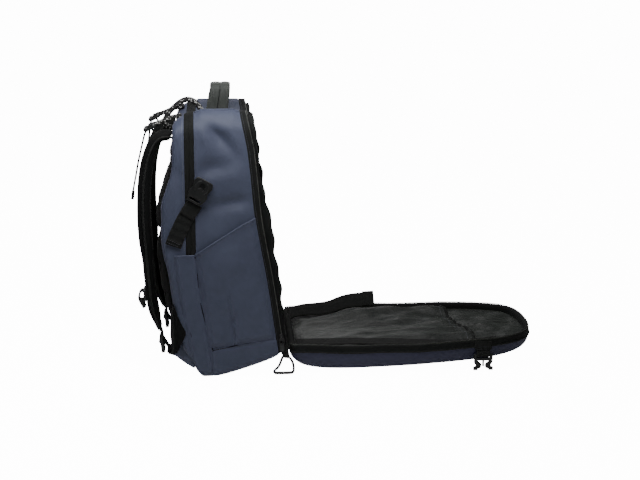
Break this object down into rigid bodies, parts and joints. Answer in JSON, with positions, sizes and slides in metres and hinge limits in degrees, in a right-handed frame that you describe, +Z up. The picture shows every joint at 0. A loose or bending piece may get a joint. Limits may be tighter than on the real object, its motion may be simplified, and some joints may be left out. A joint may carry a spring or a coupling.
{
  "type": "solar backpack",
  "caption": "Travel backpack standing open, its full front panel folded down flat and carrying a framed solar laminate outside and a pocketed tray inside.",
  "frame": {"origin": "middle of the object's bounding box, on the ground under it", "axes": "+Z up, +X from the wearer's back towards the tip of the opened front panel, +Y to the wearer's left when the bag is worn"},
  "size_m": [0.7485, 0.31, 0.522],
  "materials": {
    "shell_fabric": "coated softshell weave",
    "panel_fabric": "coated softshell weave, darker",
    "webbing": "woven webbing",
    "mesh_pad": "spacer mesh over foam",
    "lining": "thin woven lining",
    "zipper_tape": "woven zipper tape",
    "buckle_plastic": "moulded, fine texture",
    "wire_metal": "black lacquer",
    "handle_fabric": "padded woven fabric",
    "braid": "black and white speckled braid",
    "laminate": "textured clear film",
    "cells": "dark silicon under film",
    "controller_plastic": "moulded",
    "outlet_metal": "satin"
  },
  "bodies": {
    "bag": {"near_side_panel": "shell_fabric", "far_side_panel": "shell_fabric", "laptop_gussets": "shell_fabric", "laptop_zipper_cover": "webbing", "top_panel": "shell_fabric", "top_laptop_gusset": "shell_fabric", "base_panel": "shell_fabric", "base_sag": "shell_fabric", "back_panel": "mesh_pad", "divider_panel": "lining", "inner_organizer": "lining", "opening_zipper_tape": "zipper_tape", "storm_flap": "zipper_tape", "fold_piping": "zipper_tape", "side_pockets": "shell_fabric", "back_pads": "mesh_pad", "lumbar_pad": "mesh_pad", "shoulder_straps": "mesh_pad", "lower_webbing": "webbing", "ladder_buckles": "buckle_plastic", "strap_wings": "shell_fabric", "wing_webbing": "webbing", "load_lifters": "braid", "lifter_buckles": "buckle_plastic", "lifter_tails": "webbing", "haul_strap": "braid", "handle_anchors": "webbing", "ring_tabs": "webbing", "compression_webbing": "webbing"},
    "front_panel": {"front_panel_shell": "panel_fabric", "front_panel_zipper_tape": "zipper_tape", "front_panel_lining": "lining", "inner_pocket": "lining", "inner_pocket_hem": "lining", "near_inner_strap": "webbing", "far_inner_strap": "webbing", "solar_border": "panel_fabric", "solar_laminate": "laminate", "solar_cells": "cells", "charge_controller": "controller_plastic", "usb_outlet": "outlet_metal", "buckle_tabs": "webbing"},
    "handle": {"top_handle": "handle_fabric"},
    "near_d_ring": {"near_ring": "wire_metal"},
    "far_d_ring": {"far_ring": "wire_metal"},
    "near_prong": {"near_prong_buckle": "buckle_plastic"},
    "far_prong": {"far_prong_buckle": "buckle_plastic"},
    "near_socket": {"near_socket_buckle": "buckle_plastic"},
    "far_socket": {"far_socket_buckle": "buckle_plastic"},
    "near_slider": {"near_zipper_slider": "wire_metal"},
    "far_slider": {"far_zipper_slider": "wire_metal"},
    "near_pull": {"near_zipper_pull": "buckle_plastic"},
    "far_pull": {"far_zipper_pull": "buckle_plastic"},
    "laptop_slider": {"laptop_zipper_slider": "wire_metal"},
    "laptop_pull": {"laptop_zipper_pull": "buckle_plastic"},
    "near_chest": {"near_chest_slider": "buckle_plastic", "near_chest_buckle": "buckle_plastic"},
    "far_chest": {"far_chest_slider": "buckle_plastic", "far_chest_buckle": "buckle_plastic"}
  },
  "joints": [
    {"name": "front_panel_hinge", "type": "hinge", "parent": "bag", "child": "front_panel", "pos_m": [-0.093, 0, 0.05], "axis": [0, -1, 0], "range_deg": [0, 99.2]},
    {"name": "top_handle_fold", "type": "hinge", "parent": "bag", "child": "handle", "pos_m": [-0.2175, 0, 0.478], "axis": [0, 1, 0], "range_deg": [-25, 40], "stiffness_Nm_per_rad": 0.05},
    {"name": "near_ring_swing", "type": "hinge", "parent": "bag", "child": "near_d_ring", "pos_m": [-0.093, -0.1456, 0.0373], "axis": [-1, 0, 0], "range_deg": [-8, 85]},
    {"name": "far_ring_swing", "type": "hinge", "parent": "bag", "child": "far_d_ring", "pos_m": [-0.093, 0.1456, 0.0373], "axis": [1, 0, 0], "range_deg": [-8, 85]},
    {"name": "near_prong_swing", "type": "hinge", "parent": "front_panel", "child": "near_prong", "pos_m": [0.267, -0.1426, 0.0309], "axis": [-1, 0, 0], "range_deg": [-10, 95]},
    {"name": "far_prong_swing", "type": "hinge", "parent": "front_panel", "child": "far_prong", "pos_m": [0.267, 0.1426, 0.0309], "axis": [1, 0, 0], "range_deg": [-10, 95]},
    {"name": "near_socket_tilt", "type": "hinge", "parent": "bag", "child": "near_socket", "pos_m": [-0.25675, -0.147, 0.32326], "axis": [0.9563, 0, -0.2924], "range_deg": [0, 80]},
    {"name": "far_socket_tilt", "type": "hinge", "parent": "bag", "child": "far_socket", "pos_m": [-0.25675, 0.147, 0.32326], "axis": [-0.9563, 0, 0.2924], "range_deg": [0, 80]},
    {"name": "near_zipper_slide", "type": "slide", "parent": "bag", "child": "near_slider", "axis": [-0.1599, 0, 0.9871], "range_m": [0, 0.3]},
    {"name": "far_zipper_slide", "type": "slide", "parent": "bag", "child": "far_slider", "axis": [-0.1599, 0, 0.9871], "range_m": [0, 0.3]},
    {"name": "near_pull_swing", "type": "hinge", "parent": "near_slider", "child": "near_pull", "pos_m": [-0.10591, -0.1472, 0.07093], "axis": [-1, 0, 0], "range_deg": [0, 150]},
    {"name": "far_pull_swing", "type": "hinge", "parent": "far_slider", "child": "far_pull", "pos_m": [-0.10591, 0.1472, 0.07093], "axis": [1, 0, 0], "range_deg": [0, 150]},
    {"name": "laptop_zipper_slide", "type": "slide", "parent": "bag", "child": "laptop_slider", "axis": [0, 0, 1], "range_m": [0, 0.05]},
    {"name": "laptop_pull_swing", "type": "hinge", "parent": "laptop_slider", "child": "laptop_pull", "pos_m": [-0.271, 0.1485, 0.377], "axis": [1, 0, 0], "range_deg": [0, 150]},
    {"name": "near_chest_slide", "type": "slide", "parent": "bag", "child": "near_chest", "axis": [-0.0572, 0, 0.9984], "range_m": [0, 0.1]},
    {"name": "far_chest_slide", "type": "slide", "parent": "bag", "child": "far_chest", "axis": [-0.0572, 0, 0.9984], "range_m": [0, 0.1]}
  ]
}
